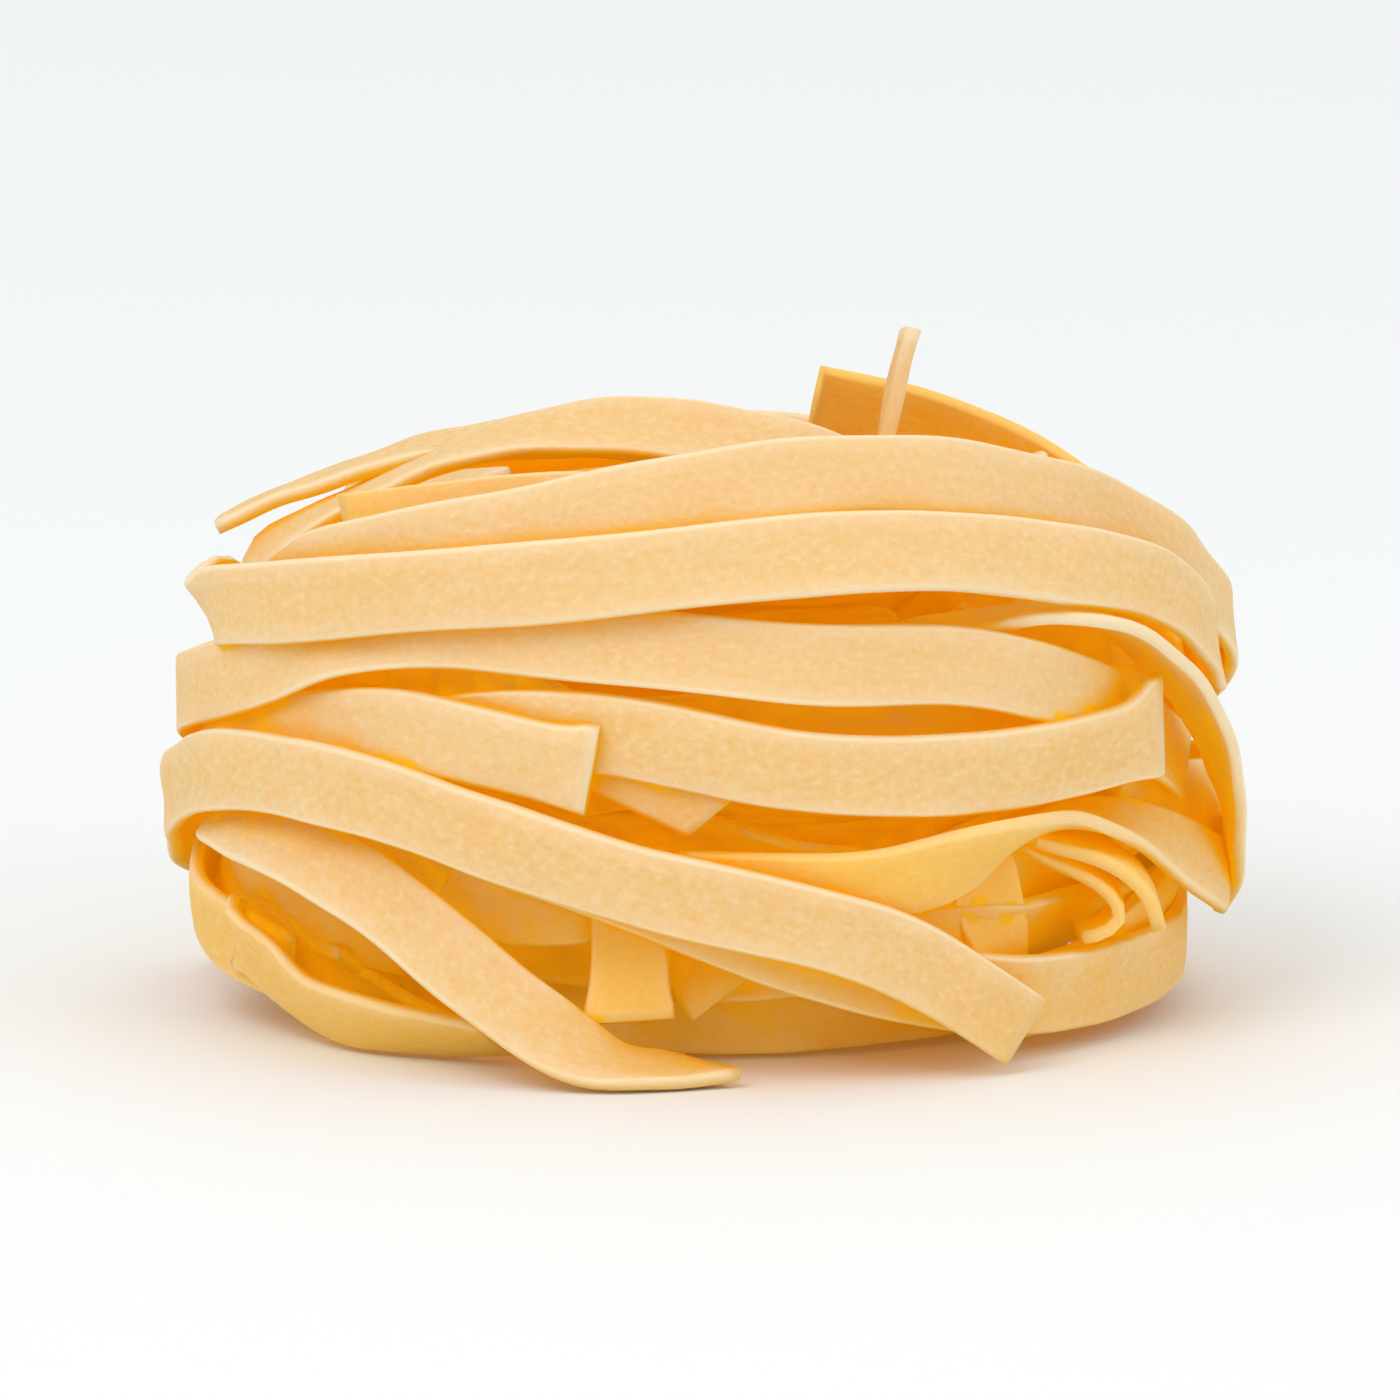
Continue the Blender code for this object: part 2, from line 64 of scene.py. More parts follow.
# Ribbons laid over the crown and down inside the hollow: degrees round the section, first
# bearing, degrees of turn
LINING = [(90, -100, 150), (112, -130, 240), (132, -80, 210), (101, -50, 150), (150, 20, 250),
          (186, 117, 250), (166, 214, 250), (200, 311, 250), (176, 48, 250)]
LINING_SWAY = 8
# Offset from the middle and height of each ribbon across the hollow
CROSSINGS = [(-6, 4.0), (2, 5.9), (7, 7.8), (-2, 9.7), (5, 11.6), (-7, 13.5), (1, 15.4),
             (-4, 2.4), (5, 2.8), (0.5, 3.2)]
CROSSING_HALF, CROSSING_RISE, CROSSING_DRIFT = 15, 3.5, 2.5
DEEPEST = 4.0                                 # least distance from the ring's own centre line
TESTS_PER_RADIAN, KNOT_EVERY = 13, 3          # of a wound ribbon's way round
LANE_GAP = 0.2                                # beside a ribbon when its room is tested

LAID = {
    "upper": [
        (128, 0.86, 17.0, 0), (110, 0.90, 19.5, 0), (92, 0.945, 22.0, 8), (73, 0.96, 25.2, 16),
        (60, 0.96, 29.0, 15), (45, 0.945, 31.7, 20), (23, 0.935, 33.8, 24),
        (3, 0.945, 33.7, 18), (-16, 0.955, 32.4, 10), (-37, 0.965, 30.8, 5),
        (-58, 0.955, 28.7, 3), (-70, 0.945, 27.5, -6), (-78, 0.91, 26.4, -22),
        (-84, 0.89, 26.0, -34), (-89, 0.865, 26.6, -34), (-92, 0.82, 28.2, -8),
        (-90, 0.76, 30.2, 30), (-84, 0.63, 33.3, 62), (-75, 0.50, 35.7, 70), (-53, 0.347, 38.0, 62),
        (-23, 0.294, 38.6, 56), (11, 0.295, 37.8, 52), (39, 0.357, 36.2, 45),
        (62, 0.435, 33.2, 35)],
    "top": [
        (-75, 0.86, 26.0, 5), (-53, 0.915, 30.9, 8), (-28, 0.90, 34.6, 12),
        (-8, 0.88, 37.2, 15), (14, 0.86, 38.6, 18), (36, 0.865, 37.4, 18), (49, 0.875, 35.4, 15),
        (64, 0.90, 32.2, 8), (77, 0.935, 28.2, 3), (90, 0.96, 24.0, 0),
        (110, 0.94, 18.8, 0), (130, 0.90, 15.0, 0)],
    "middle": [
        (-125, 0.90, 15.0, 0), (-105, 0.92, 17.5, 0), (-90, 0.94, 20.0, 0),
        (-73, 0.95, 22.4, 5), (-60, 0.945, 24.4, 10), (-49, 0.93, 26.6, 12),
        (-34, 0.915, 28.6, 12), (-18, 0.915, 28.5, 15), (-2, 0.925, 27.9, 18),
        (13, 0.935, 27.2, 12), (28, 0.935, 26.8, 5), (42, 0.93, 24.7, 5), (58, 0.91, 21.2, 5),
        (75, 0.90, 17.0, 5)],
    "right_hook": [
        (20, 0.73, 23.8, 35), (30, 0.80, 26.2, 62), (38, 0.87, 28.0, 84), (46, 0.935, 28.0, 92),
        (54, 0.965, 25.9, 88), (60, 0.975, 23.3, 84), (66, 0.98, 19.6, 72), (73, 0.98, 15.0, 50),
        (80, 0.965, 10.6, 25), (88, 0.94, 7.5, 0)],
    "left_tab": [
        (-85, 0.90, 15.0, 0), (-70, 0.915, 17.6, 0), (-54, 0.925, 20.4, 10),
        (-38, 0.96, 22.0, 8), (-26, 0.978, 21.6, 3), (-13, 0.99, 20.2, 0)],
    "right_tab": [
        (-38, 0.86, 20.8, 5), (-24, 0.915, 22.5, 5), (-9, 0.95, 22.5, 0), (6, 0.965, 20.7, 0),
        (20, 0.975, 19.8, 0), (36, 0.98, 19.6, 0), (56, 0.985, 20.3, 0)],
    "deep": [
        (-30, 0.835, 21.0, 0), (-5, 0.85, 22.0, 0), (22, 0.85, 22.7, 0), (45, 0.845, 21.5, 0),
        (65, 0.845, 19.0, 0)],
    "wedge_end": [(-42, 0.865, 26.0, 0), (-22, 0.892, 23.3, 0), (-9.5, 0.907, 20.4, 0),
                  (1, 0.925, 17.9, 0)],
    "long_diagonal": [
        (-135, 0.90, 7.0, 0), (-119, 0.945, 8.2, -5), (-108, 0.975, 9.2, -10),
        (-100, 0.985, 10.6, -10), (-93, 0.975, 12.6, -6), (-85, 0.97, 14.3, 0),
        (-72, 0.975, 16.6, 3), (-57, 0.995, 18.2, 3), (-37, 1.0, 17.8, 3), (-17, 1.005, 14.8, 0),
        (1, 1.01, 12.0, 0), (19, 1.01, 8.6, 0), (29.5, 0.995, 4.8, 0), (35, 0.985, 2.7, 0)],
    "low_diagonal": [
        (-100, 0.80, 12.0, 40), (-80, 0.90, 13.9, 42), (-65, 0.95, 14.4, 42),
        (-49, 0.98, 13.6, 40), (-37, 0.985, 11.2, 36), (-27, 0.99, 7.6, 34), (-17, 0.99, 3.7, 42),
        (-9, 0.96, 1.2, 70), (0, 0.90, 0.8, 85)],
    "left_foot": [
        (-118, 0.83, 11.5, 0), (-105, 0.86, 10.8, 0), (-95, 0.895, 9.6, 0), (-86, 0.92, 7.7, -4),
        (-77, 0.925, 6.4, -8), (-69, 0.90, 5.4, -8), (-61, 0.86, 4.4, -8)],
    "hanging_end": [(-12, 0.72, 15.5, 40), (-11, 0.815, 11.3, 15), (-10.8, 0.85, 6.8, 0),
                    (-10.8, 0.885, 3.2, 35)],
    "foot": [
        (-27, 0.86, 15.0, 0), (-9, 0.905, 12.5, -3), (7, 0.92, 9.0, -5), (22, 0.92, 6.2, -8),
        (39, 0.905, 4.4, -8), (55, 0.89, 4.0, -8), (70, 0.88, 4.2, -5), (95, 0.88, 4.7, 0),
        (120, 0.92, 5.0, 0)],
    "right_cheek": [(60, 0.87, 14.8, 0), (72, 0.90, 14.4, 0), (80, 0.94, 13.9, 0),
                    (90, 0.985, 13.3, 0), (100, 0.985, 12.7, 0), (115, 0.965, 12.2, 0),
                    (130, 0.94, 11.8, 0)],
    "back_end": [(143, 0.37, 37.4, 0), (134, 0.60, 35.2, 0), (126, 0.75, 32.4, 0),
                 (116, 0.85, 28.6, 0), (105, 0.875, 23.8, 0), (90, 0.88, 19.0, 0)],
    "crown_rear": [
        (-100, 0.88, 30.2, 80), (-97, 0.684, 33.4, 74), (-90, 0.50, 35.7, 68),
        (-76, 0.356, 37.2, 64), (-50, 0.25, 38.0, 60), (20, 0.20, 37.0, 56),
        (80, 0.30, 34.8, 50)],
    "crown_stub": [(-59, 0.75, 32.4, 15), (-46, 0.70, 33.6, 18), (-33, 0.65, 34.4, 20),
                   (-18, 0.60, 34.6, 20), (0, 0.58, 34.0, 20)],
    "back_sweep": [
        (-76, 0.84, 22.6, 8), (-100, 0.87, 24.4, 10), (-125, 0.89, 26.6, 8),
        (-150, 0.94, 26.6, 5), (-165, 0.97, 24.5, 0), (180, 0.99, 21.0, 0),
        (160, 1.0, 16.0, 0), (146, 1.0, 12.6, 0), (136, 0.995, 10.8, 0)],
    "back_tab": [(103, 0.95, 25.4, 5), (118, 0.96, 26.4, 8), (140, 0.965, 26.5, 8),
                 (160, 0.965, 24.0, 5), (171, 0.955, 22.4, 0)],
    "back_diagonal": [
        (126, 0.90, 28.6, 12), (142, 0.88, 30.4, 18), (158, 0.88, 30.6, 15),
        (-178, 0.91, 28.0, 8), (-160, 0.935, 22.0, 3), (-143, 0.95, 16.0, 0),
        (-128, 0.97, 12.5, 0)],
    "back_low": [
        (-114, 0.93, 3.4, 0), (-130, 0.97, 4.4, 0), (-150, 0.98, 7.0, 0), (-172, 0.99, 10.0, 0),
        (168, 1.0, 9.5, 0), (150, 0.99, 6.0, 0), (135, 0.97, 3.2, 0)],
    "back_crown": [
        (-115, 0.70, 31.5, 40), (-140, 0.66, 32.4, 45), (-168, 0.62, 33.0, 45),
        (165, 0.64, 33.0, 42), (142, 0.72, 31.5, 35)],
    "right_arch": [
        (-3, 0.88, 12.3, -4), (6, 0.935, 12.3, -10), (15, 0.965, 12.6, -14),
        (25, 0.965, 13.3, -20), (34, 0.95, 14.4, -45, -5),
        (43, 0.90, 15.0, -76, -12), (54, 0.915, 14.2, -112, -24), (61, 0.94, 12.9, -136, -33),
        (69, 0.97, 11.0, -150, -41), (79, 0.99, 8.8, -158, -50)],
    "standing_end": [(91, 0.386, 43.4, 0), (90, 0.34, 37.0, 0), (89, 0.34, 30.0, 0),
                     (88, 0.40, 22.0, 0)],
}
# Small folded ribbons in the gaps, and ribbons behind them, which are too deep for the solid
FOLDED = {
    "hairpin": [
        (-26, 0.85, 2.0, -62, 0), (-38, 0.865, 2.2, -45, 0), (-47, 0.885, 2.4, -36, 0),
        (-52, 0.885, 2.8, -33, 0), (-57, 0.89, 4.0, -30, -4), (-61, 0.90, 5.3, -24, -18),
        (-64.5, 0.915, 6.2, -14, -55), (-67, 0.895, 6.3, -6, -110), (-66.6, 0.855, 5.8, 0, -155),
        (-62.9, 0.815, 4.6, 5, -178), (-54.8, 0.755, 2.7, 15, -180), (-44.7, 0.726, 1.8, 48, -180),
        (-35, 0.72, 1.3, 66, -180)],
    "curl_a": [
        (45, 0.77, 14.4, 68, 45), (47.9, 0.817, 13.6, 62, 42), (51.4, 0.878, 11.95, 50, 39),
        (53.1, 0.912, 10.3, 28, 37), (53.5, 0.918, 9.1, 0, 37), (52.6, 0.902, 8.3, -45, 37),
        (50.5, 0.865, 7.9, -72, 39)],
    "curl_b": [
        (44, 0.78, 14.6, 78, 46), (47.7, 0.834, 13.8, 70, 42), (51.7, 0.90, 12.6, 52, 38),
        (54.8, 0.935, 10.9, 38, 35), (57.2, 0.94, 9.0, 20, 33)],
    "curl_c": [
        (40, 0.80, 3.4, 0), (52, 0.83, 4.2, 0), (63, 0.845, 5.6, 0), (72, 0.86, 7.6, 0),
        (81, 0.87, 10.4, 0), (92, 0.86, 12.5, 0)],
    "fold_a": [
        (35, 0.80, 15.0, 8, -12), (37.5, 0.815, 12.2, 5, -14), (38.5, 0.825, 9.6, 0, 8),
        (39.5, 0.835, 7.2, 0, 36), (40, 0.83, 5.4, 0, 46)],
    "fold_b": [
        (26, 0.74, 15.0, 12, -10), (30, 0.78, 11.5, 6, -10), (32.5, 0.79, 8.6, 0, 10),
        (34, 0.79, 6.0, 0, 35), (34, 0.76, 3.6, 0, 50)],
    "cave_a": [
        (-62, 0.78, 16.0, 0), (-39, 0.825, 13.8, 0), (-29.5, 0.83, 11.4, 2),
        (-20, 0.815, 11.2, 5), (-11, 0.78, 12.0, 8), (4, 0.74, 13.5, 10)],
    "cave_b": [
        (-64, 0.70, 6.0, 0), (-45, 0.715, 7.6, 5), (-25, 0.70, 7.8, 8), (-5, 0.71, 7.0, 5),
        (15, 0.72, 7.6, 0), (30, 0.70, 8.6, 0)],
    "left_pocket": [
        (-120, 0.80, 10.4, 0), (-105, 0.825, 10.2, 0), (-90, 0.87, 9.8, 0), (-77, 0.86, 9.2, 0),
        (-62, 0.82, 8.4, 0), (-45, 0.76, 7.8, 0)],
    "right_pocket": [
        (30, 0.80, 26.0, 5), (45, 0.835, 27.0, 5), (60, 0.85, 27.2, 5), (75, 0.85, 25.4, 0),
        (95, 0.84, 21.0, 0)],
    "cave_c": [
        (-75, 0.62, 4.6, 0), (-50, 0.64, 3.6, -5), (-25, 0.655, 3.0, -8), (0, 0.66, 2.9, -8),
        (25, 0.66, 3.0, -5), (50, 0.67, 3.4, 0), (75, 0.68, 4.6, 0)],
    "cave_d": [(-7, 0.68, 10.4, 25), (-3, 0.72, 8.2, 18), (0, 0.745, 6.2, 10), (2, 0.75, 4.6, 5)],
    "cave_e": [
        (-50, 0.66, 11.5, 0), (-28, 0.68, 10.2, 6), (-6, 0.67, 10.0, 8), (16, 0.68, 11.0, 4),
        (40, 0.69, 12.5, 0)],
}
# Slope of the cut across each end that shows, first station's end and last station's end
CUTS = {
    "left_tab": (0, 0.05), "right_tab": (0, -0.05), "wedge_end": (0, -0.5),
    "long_diagonal": (0, -0.12), "low_diagonal": (0, 0.5), "hanging_end": (0, 0.15),
    "standing_end": (0.2, 0), "back_end": (0.3, 0), "crown_stub": (-0.3, 0),
}
# Millimetres that the edges stand out at the last end: (edge on the width's side, other edge)
FLARES = {"right_tab": (0.2, 1.5), "left_tab": (0.1, 0.6), "hanging_end": (0.5, 0.5)}
# How golden a ribbon is painted at its first and last end: painted shade, and a painted glow of the
# light that comes through it from behind
PAINTED_GOLD = {"back_end": (0.7, 0.6), "hanging_end": (1.0, 0.45), "left_foot": (0.3, 0.35),
        "right_arch": (0.75, 0.0), "crown_stub": (0.5, 0.0), "hairpin": (0.3, 0.4)}
# Folded ribbons lie in the gaps and get this painted shade all along
FOLDED_PAINTED_GOLD = (0.6, 0.6)


def wrap_angle(angle):
    return (angle + math.pi) % (2 * math.pi) - math.pi


def section_reach(around, bearing):
    cosine, sine = np.cos(around), np.sin(around)
    top = ROOM_UP + FRONT_LIFT * np.cos(bearing - LIFT_BEARING)
    level = np.where(cosine > 0, ROOM_OUT, ROOM_IN)
    upright = np.where(sine > 0, top, ROOM_DOWN)
    total = (np.abs(cosine) / level) ** SECTION_POWER + (np.abs(sine) / upright) ** SECTION_POWER
    return total ** (-1 / SECTION_POWER)


def bulge(offset, width):
    return np.exp(-(wrap_angle(offset) / width) ** 2)


def cleft(bearing, around):
    middle = bulge(bearing - math.radians(-8), math.radians(30))
    middle = middle * bulge(around - math.radians(-38), math.radians(24))
    right = bulge(bearing - math.radians(48), math.radians(18))
    right = right * bulge(around - math.radians(-30), math.radians(20))
    return middle + 0.7 * right


def unevenness(bearing, around):
    return 1 + 0.03 * np.sin(2 * bearing + 1) + 0.025 * np.sin(3 * bearing - 2 * around)


def place(bearing, reach, height):
    across = HALF_WIDTH * reach * np.sin(bearing)
    along = -HALF_DEPTH * reach * np.cos(bearing)
    return np.stack([across, along, height], axis=-1)


def ring_place(bearing, around, distance):
    reach = (RING_RADIUS + distance * np.cos(around)) / MEAN_HALF
    return place(bearing, reach, RING_HEIGHT + distance * np.sin(around))


def ring_coordinates(points):
    across = points[..., 0] / HALF_WIDTH
    along = -points[..., 1] / HALF_DEPTH
    outward = MEAN_HALF * np.hypot(across, along) - RING_RADIUS
    upward = points[..., 2] - RING_HEIGHT
    return np.arctan2(across, along), np.arctan2(upward, outward), np.hypot(outward, upward)


def smooth_curve(knots, count):
    """A natural cubic spline through the knots, sampled at `count` even steps."""
    last = len(knots) - 1
    gaps = np.linalg.norm(np.diff(knots[:, :3], axis=0), axis=1)
    along = np.concatenate([[0.0], np.cumsum(gaps)])
    matrix = np.eye(last + 1)
    target = np.zeros_like(knots)
    for i in range(1, last):
        matrix[i, i - 1:i + 2] = gaps[i - 1], 2 * (gaps[i - 1] + gaps[i]), gaps[i]
        ahead = (knots[i + 1] - knots[i]) / gaps[i]
        behind = (knots[i] - knots[i - 1]) / gaps[i - 1]
        target[i] = 6 * (ahead - behind)
    bend = np.linalg.solve(matrix, target)
    where = np.linspace(0, along[-1], count)
    span = np.clip(np.searchsorted(along, where, side="right") - 1, 0, last - 1)
    length = gaps[span][:, None]
    left = (along[span + 1] - where)[:, None] / length
    right = 1 - left
    curve = left * knots[span] + right * knots[span + 1]
    cubic = (left ** 3 - left) * bend[span] + (right ** 3 - right) * bend[span + 1]
    return curve + cubic * length ** 2 / 6


def unit(vectors):
    return vectors / np.linalg.norm(vectors, axis=1)[:, None]


def squared_up(centre, face):
    """Centre points with the face square to the way ahead, and the width direction."""
    ahead = unit(np.gradient(centre, axis=0))
    face = unit(face - (face * ahead).sum(axis=1)[:, None] * ahead)
    return centre, face, np.cross(ahead, face)


def route_from_knots(knots, step):
    length = np.linalg.norm(np.diff(knots[:, :3], axis=0), axis=1).sum()
    curve = smooth_curve(knots, max(4, round(length / step) + 1))
    return squared_up(curve[:, :3], curve[:, 3:])


def facing(bearing, lean):
    level = np.cos(lean)
    return np.stack([level * np.sin(bearing), -level * np.cos(bearing), np.sin(lean)], axis=-1)


def laid_route(stations, step):
    table = np.array([(*station, 0)[:5] for station in stations], float)
    bearing, lean, swing = np.radians(table[:, 0]), np.radians(table[:, 3]), np.radians(table[:, 4])
    knots = np.hstack([place(bearing, table[:, 1], table[:, 2]), facing(bearing + swing, lean)])
    return route_from_knots(knots, step)


def empty_room():
    bearing = ((np.arange(GRID_BEARINGS) + 0.5) / GRID_BEARINGS * 2 - 1) * math.pi
    around = ((np.arange(GRID_SECTION) + 0.5) / GRID_SECTION * 2 - 1) * math.pi
    bearing, around = np.meshgrid(bearing, around, indexing="ij")
    room = section_reach(around, bearing) * unevenness(bearing, around)
    return room - CLEFT_DEPTH * cleft(bearing, around)


def grid_cell(bearing, around):
    row = np.floor((wrap_angle(bearing) / math.pi + 1) / 2 * GRID_BEARINGS).astype(int)
    column = np.floor((wrap_angle(around) / math.pi + 1) / 2 * GRID_SECTION).astype(int)
    return row % GRID_BEARINGS, column % GRID_SECTION


def take_room(room, route):
    centre, face, width = route
    inner = centre - face * (RIBBON_THICKNESS / 2 + 0.15)
    for share in np.linspace(-1, 1, 9):
        lane = inner + width * share * (RIBBON_WIDTH / 2 + 0.25)
        bearing, around, distance = ring_coordinates(lane)
        np.minimum.at(room, grid_cell(bearing, around), distance)


def blurred(values, spread):
    reach = int(3 * spread) + 1
    weights = np.exp(-(np.arange(-reach, reach + 1) / spread) ** 2 / 2)
    padded = np.pad(values, reach, mode="edge")
    return np.convolve(padded, weights / weights.sum(), mode="valid")


def lowest_near(values, reach):
    padded = np.pad(values, reach, mode="edge")
    shifted = [padded[i:i + len(values)] for i in range(2 * reach + 1)]
    return np.min(shifted, axis=0)


def wound_route(room, start, span, middle, sway, chance):
    """A ribbon wound round the ring, tucked just under everything laid so far."""
    count = int(math.radians(span) * TESTS_PER_RADIAN)
    turn = np.radians(np.linspace(0, span, count))
    bearing = math.radians(start) + turn
    slow = np.sin(turn * chance.uniform(0.8, 1.5) + chance.uniform(0, 6.3))
    quick = np.sin(turn * chance.uniform(2, 3) + chance.uniform(0, 6.3))
    around = wrap_angle(math.radians(middle) + math.radians(sway) * (slow + 0.4 * quick))
    lanes = []
    radius = np.maximum(section_reach(around, bearing) * 0.8, 6)
    for share in (-1, -0.5, 0, 0.5, 1):
        beside = around + share * (RIBBON_WIDTH / 2 + LANE_GAP) / radius
        lanes.append(room[grid_cell(bearing, beside)])
    low = blurred(lowest_near(np.min(lanes[:3], axis=0), 2), 2.2)
    high = blurred(lowest_near(np.min(lanes[2:], axis=0), 2), 2.2)
    distance = np.minimum((low + high) / 2, np.minimum(low, high) + 0.9)
    distance = blurred(distance - RIBBON_THICKNESS / 2 - 0.1, 2.0)
    lean = blurred(np.clip(np.arctan2(low - high, RIBBON_WIDTH / 2), -0.35, 0.35), 3)
    lean = around + lean + math.radians(chance.uniform(-6, 6))
    centre = ring_place(bearing, around, np.maximum(distance, DEEPEST))
    centre[:, 2] = np.maximum(centre[:, 2], 0.8 + 2.5 * np.abs(np.cos(around)))
    knots = np.hstack([centre, facing(bearing, lean)])
    return knots[::KNOT_EVERY]


def crossing_route(i, step):
    """A ribbon across the floor of the hollow, with its ends running up into the ring."""
    offset, floor = CROSSINGS[i]
    turn = math.radians(GOLDEN_TURN * i + 20)
    ahead = np.array([math.cos(turn), math.sin(turn)])
    side = np.array([-ahead[1], ahead[0]])
    half = CROSSING_HALF + 2.2 * (i % 3)
    knots = []
    for share in np.linspace(-1, 1, 7):
        flat = side * (offset + CROSSING_DRIFT * share ** 2) + ahead * half * share
        height = floor + CROSSING_RISE * share ** 2
        slope = -2 * CROSSING_RISE * share / half
        knots.append([*flat, height, *(ahead * slope), 1.0])
    return route_from_knots(np.array(knots), step)


class Winding:
    """The ribbons in the order they are laid, and the room that is left under them."""

    def __init__(self):
        self.ribbons = []
        self.room = empty_room()

    def lay(self, stations, name, kind):
        take_room(self.room, laid_route(stations, ROOM_STEP))
        self.ribbons.append((name, kind, *laid_route(stations, STEP)))

    def wind(self, start, span, middle, sway, chance, name, kind):
        knots = wound_route(self.room, start, span, middle, sway, chance)
        take_room(self.room, route_from_knots(knots, ROOM_STEP))
        self.ribbons.append((name, kind, *route_from_knots(knots, STEP)))


def all_ribbons():
    """(name, kind, centre, face, width) of every ribbon, before they are pushed apart."""
    winding = Winding()
    for name, stations in LAID.items():
        winding.lay(stations, name, "laid")
    chance = np.random.default_rng(SEED + 1)
    for i, (middle, start, span) in enumerate(LINING):
        winding.wind(start, span, middle, LINING_SWAY, chance, f"lining_{i}", "inner")
    chance = np.random.default_rng(SEED)
    for layer, count in enumerate(WOUND_LAYERS):
        if layer == FOLDED_LAYER:
            for name, stations in FOLDED.items():
                winding.lay(stations, name, "folded")
        kind = "wound" if layer < FOLDED_LAYER else "inner"
        for i in range(count):
            middle = FIRST_AROUND + AROUND_SPAN * ((i * GOLDEN_SHARE + 0.13 * layer) % 1)
            start = GOLDEN_TURN * (i + 3 * layer) + chance.uniform(-20, 20)
            span, sway = chance.uniform(150, 330), chance.uniform(8, 26)
            winding.wind(start, span, middle, sway, chance, f"wound_{layer}_{i}", kind)
    crossings = [(f"crossing_{i}", "crossing", *crossing_route(i, STEP))
                 for i in range(len(CROSSINGS))]
    return winding.ribbons + crossings


# ---------------------------------------------------------------- pushing apart

LANES = np.array([-1, -0.5, 0, 0.5, 1]) * (RIBBON_WIDTH / 2 - 0.25)
SPREAD = 5.0                      # stations over which a push is spread along a ribbon
CLEARANCE = RIBBON_THICKNESS + 0.06
NEAR, BESIDE, MOST_LACK = 3.0, 1.0, 2.6
EASE = {"laid": 0.12, "folded": 0.4, "wound": 1.0, "inner": 1.6, "crossing": 1.6}


def near_pairs(points, owner, radius):
    """Pairs of points of different ribbons that are nearer than `radius`."""
    cell = np.floor((points - points.min(axis=0)) / radius).astype(np.int64) + 1
    size = cell.max(axis=0) + 2
    key = (cell[:, 0] * size[1] + cell[:, 1]) * size[2] + cell[:, 2]
    order = np.argsort(key, kind="stable")
    ranked = key[order]
    everyone = np.arange(len(points))
    firsts, seconds = [], []
    for x in (-1, 0, 1):
        for y in (-1, 0, 1):
            low = key + (x * size[1] + y) * size[2] - 1
            start = np.searchsorted(ranked, low, side="left")
            count = np.searchsorted(ranked, low + 2, side="right") - start
            first = np.repeat(everyone, count)
            step = np.arange(len(first)) - np.repeat(np.cumsum(count) - count, count)
            second = order[np.repeat(start, count) + step]
            keep = owner[first] != owner[second]
            first, second = first[keep], second[keep]
            gap = points[first] - points[second]
            keep = np.einsum("ij,ij->i", gap, gap) < radius ** 2
            firsts.append(first[keep])
            seconds.append(second[keep])
    return np.concatenate(firsts), np.concatenate(seconds)


def note_sides(side_of, spans, here, other, level):
    """Note on which side of each near ribbon a station lies, where that isn't known yet."""
    fresh = np.zeros_like(side_of)
    np.add.at(fresh, (here, other), level)
    for a, b in spans:
        total = np.cumsum(np.pad(fresh[a:b], ((5, 4), (0, 0))), axis=0)
        smooth = total[9:] - np.pad(total, ((1, 0), (0, 0)))[:-1][:b - a]
        known = side_of[a:b]
        side_of[a:b] = np.where(known == 0, np.sign(smooth[:b - a]), known)


def gathered_pushes(count, first, second, push, back):
    """The mean push on each point, and how many pushes it got."""
    moved = np.zeros((count, 3))
    weight = np.zeros(count)
    np.add.at(moved, first, push)
    np.add.at(weight, first, 1.0)
    np.add.at(moved, second, -back)
    np.add.at(weight, second, 1.0)
    return moved / np.maximum(weight, 1)[:, None], weight


def shift_and_tilt(moved, touched, face):
    """Each station's move as a whole, and the turn that the pushes on its lanes ask for."""
    shift = moved.sum(axis=1) / np.maximum(touched.sum(axis=1), 1)[:, None]
    tilt = np.einsum("slk,sk->sl", moved - shift[:, None], face) * touched
    tilt = (tilt * LANES).sum(axis=1) / (touched * LANES ** 2).sum(axis=1).clip(10)
    return shift, tilt


def blurred_rows(rows, spread):
    return np.stack([blurred(rows[:, axis], spread) for axis in range(3)], axis=1)


def moved_ribbon(centre, face, width, start, shift, tilt):
    """One ribbon after a round of pushes: the moves are smoothed, and it stays off the table."""
    moved_face = face - 0.5 * blurred(tilt, 3)[:, None] * width
    gone = centre + 0.8 * blurred_rows(shift, 2.5) - start
    moved_centre = start + (0.5 * gone + 0.5 * blurred_rows(gone, SPREAD))
    reach = np.abs(width[:, 2]) * RIBBON_WIDTH / 2
    reach = reach + np.abs(face[:, 2]) * RIBBON_THICKNESS / 2
    low = np.maximum(reach + 0.02 - moved_centre[:, 2], 0)
    moved_centre[:, 2] += blurred(low, 2)
    return squared_up(moved_centre, moved_face)


